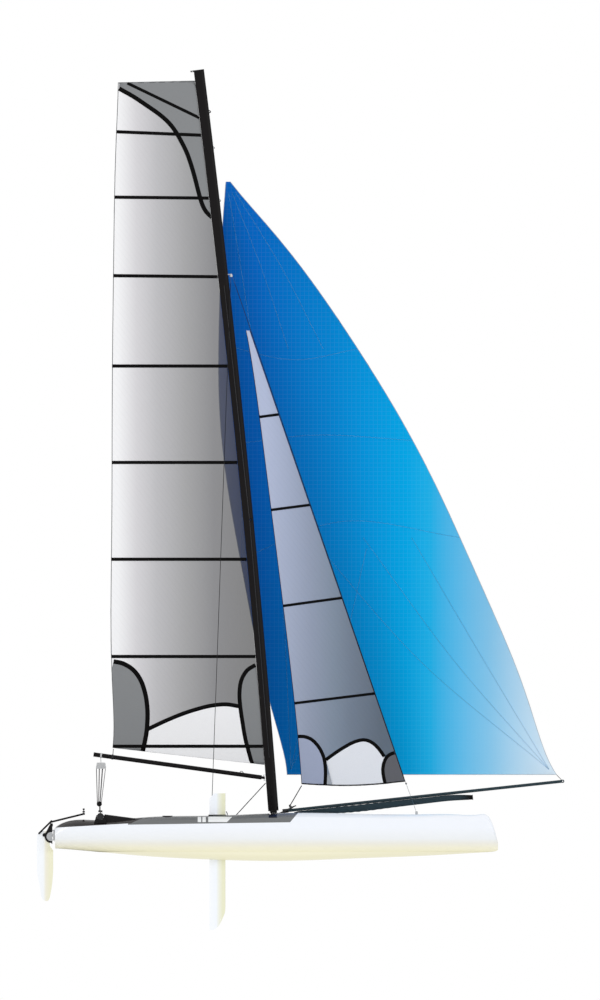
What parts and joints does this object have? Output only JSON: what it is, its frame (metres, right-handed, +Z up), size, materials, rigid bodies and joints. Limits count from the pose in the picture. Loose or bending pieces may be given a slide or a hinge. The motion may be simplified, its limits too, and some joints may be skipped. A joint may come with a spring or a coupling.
{
  "type": "racing catamaran",
  "caption": "Twin-hulled beach catamaran for racing, with daggerboards, kick-up rudders, rotating mast, full-batten mainsail, jib and gennaker on a bow pole.",
  "frame": {"origin": "on the waterline, amidships, on the centreline", "axes": "+X to the bow, +Y to port, +Z up the mast"},
  "size_m": [7.262, 3.205, 11.8606],
  "materials": {
    "hull_gelcoat": "gloss",
    "foil_gelcoat": "gloss",
    "carbon_gloss": "gloss",
    "carbon_satin": "satin",
    "black_plastic": "matte",
    "anodised": "anodised",
    "stainless": "polished",
    "wire_rope": "laid wire",
    "main_film": "laminate film",
    "jib_film": "laminate film",
    "gennaker_nylon": "ripstop nylon",
    "webbing": "woven",
    "trampoline_mesh": "woven mesh",
    "sock_cloth": "woven"
  },
  "bodies": {
    "root": {"hull_starboard": "hull_gelcoat", "hull_port": "hull_gelcoat", "gudgeons_starboard": "stainless", "gudgeons_port": "stainless", "front_beam": "carbon_satin", "rear_beam": "carbon_satin", "rear_beam_saddles": "carbon_satin", "board_collars": "black_plastic", "hatch_covers": "black_plastic", "chainplates": "stainless", "bridle_plates": "stainless", "mast_step": "anodised", "dolphin_striker": "stainless", "trampoline": "trampoline_mesh", "traveller_track": "anodised", "stay_collar": "stainless", "shroud_starboard": "wire_rope", "shroud_port": "wire_rope", "forestay": "wire_rope", "bridle": "wire_rope", "gennaker": "gennaker_nylon", "bow_pole": "carbon_satin", "pole_heel": "anodised", "tack_strop": "webbing", "gennaker_sock": "sock_cloth", "sock_ring": "black_plastic", "jib_track": "anodised"},
    "mast": {"mast": "carbon_gloss", "masthead_crane": "carbon_gloss", "hounds_tang": "stainless", "spreaders": "carbon_gloss", "gooseneck": "stainless"},
    "boom": {"boom": "carbon_gloss", "outhaul_strap": "webbing", "mainsheet_upper_block": "black_plastic", "mainsail": "main_film"},
    "jib": {"jib": "jib_film", "jib_sheet_car": "black_plastic"},
    "traveller": {"traveller_car": "black_plastic", "mainsheet_lower_block": "black_plastic"},
    "rudder_starboard": {"rudder_head_starboard": "carbon_gloss"},
    "rudder_port": {"rudder_head_port": "carbon_gloss"},
    "blade_starboard": {"rudder_blade_starboard": "foil_gelcoat"},
    "blade_port": {"rudder_blade_port": "foil_gelcoat"},
    "crossbar": {"crossbar": "carbon_satin"},
    "tiller_extension": {"tiller_extension": "carbon_satin"},
    "board_starboard": {"daggerboard_starboard": "foil_gelcoat"},
    "board_port": {"daggerboard_port": "foil_gelcoat"}
  },
  "joints": [
    {"name": "mast_turn", "type": "hinge", "parent": "root", "child": "mast", "pos_m": [-0.042, 0, 0.566], "axis": [0.0787, 0, -0.9969], "range_deg": [-30, 30]},
    {"name": "boom_swing", "type": "hinge", "parent": "mast", "child": "boom", "pos_m": [-0.17129, 0, 1.022], "axis": [0.1013, 0, -0.9949], "range_deg": [-22, 22]},
    {"name": "jib_swing", "type": "hinge", "parent": "root", "child": "jib", "pos_m": [1.784, 0, 0.942], "axis": [0.3251, 0, -0.9457], "range_deg": [-15, 15]},
    {"name": "traveller_slide", "type": "slide", "parent": "root", "child": "traveller", "axis": [0, 1, 0], "range_m": [-1.05, 1.05]},
    {"name": "steer_starboard", "type": "hinge", "parent": "root", "child": "rudder_starboard", "pos_m": [-3.092, -1.395, 0.25], "axis": [0, 0, 1], "range_deg": [-35, 35]},
    {"name": "steer_port", "type": "hinge", "parent": "root", "child": "rudder_port", "pos_m": [-3.092, 1.395, 0.25], "axis": [0, 0, 1], "range_deg": [-35, 35]},
    {"name": "crossbar_pin", "type": "hinge", "parent": "rudder_starboard", "child": "crossbar", "pos_m": [-2.655, -1.395, 0.554], "axis": [0, 0, 1], "range_deg": [-35, 35]},
    {"name": "extension_swing", "type": "hinge", "parent": "crossbar", "child": "tiller_extension", "pos_m": [-2.655, 0, 0.588], "axis": [0, 0, -1], "range_deg": [-20, 65]},
    {"name": "kick_up_starboard", "type": "hinge", "parent": "rudder_starboard", "child": "blade_starboard", "pos_m": [-3.195, -1.395, 0.235], "axis": [0, 1, 0], "range_deg": [0, 85]},
    {"name": "kick_up_port", "type": "hinge", "parent": "rudder_port", "child": "blade_port", "pos_m": [-3.195, 1.395, 0.235], "axis": [0, 1, 0], "range_deg": [0, 85]},
    {"name": "board_lift_starboard", "type": "slide", "parent": "root", "child": "board_starboard", "axis": [0, 0, 1], "range_m": [0, 0.95]},
    {"name": "board_lift_port", "type": "slide", "parent": "root", "child": "board_port", "axis": [0, 0, 1], "range_m": [0, 0.95]}
  ],
  "couplings": [
    {"joint": "steer_port", "follows": "steer_starboard", "ratio": 1},
    {"joint": "crossbar_pin", "follows": "steer_starboard", "ratio": -1}
  ]
}
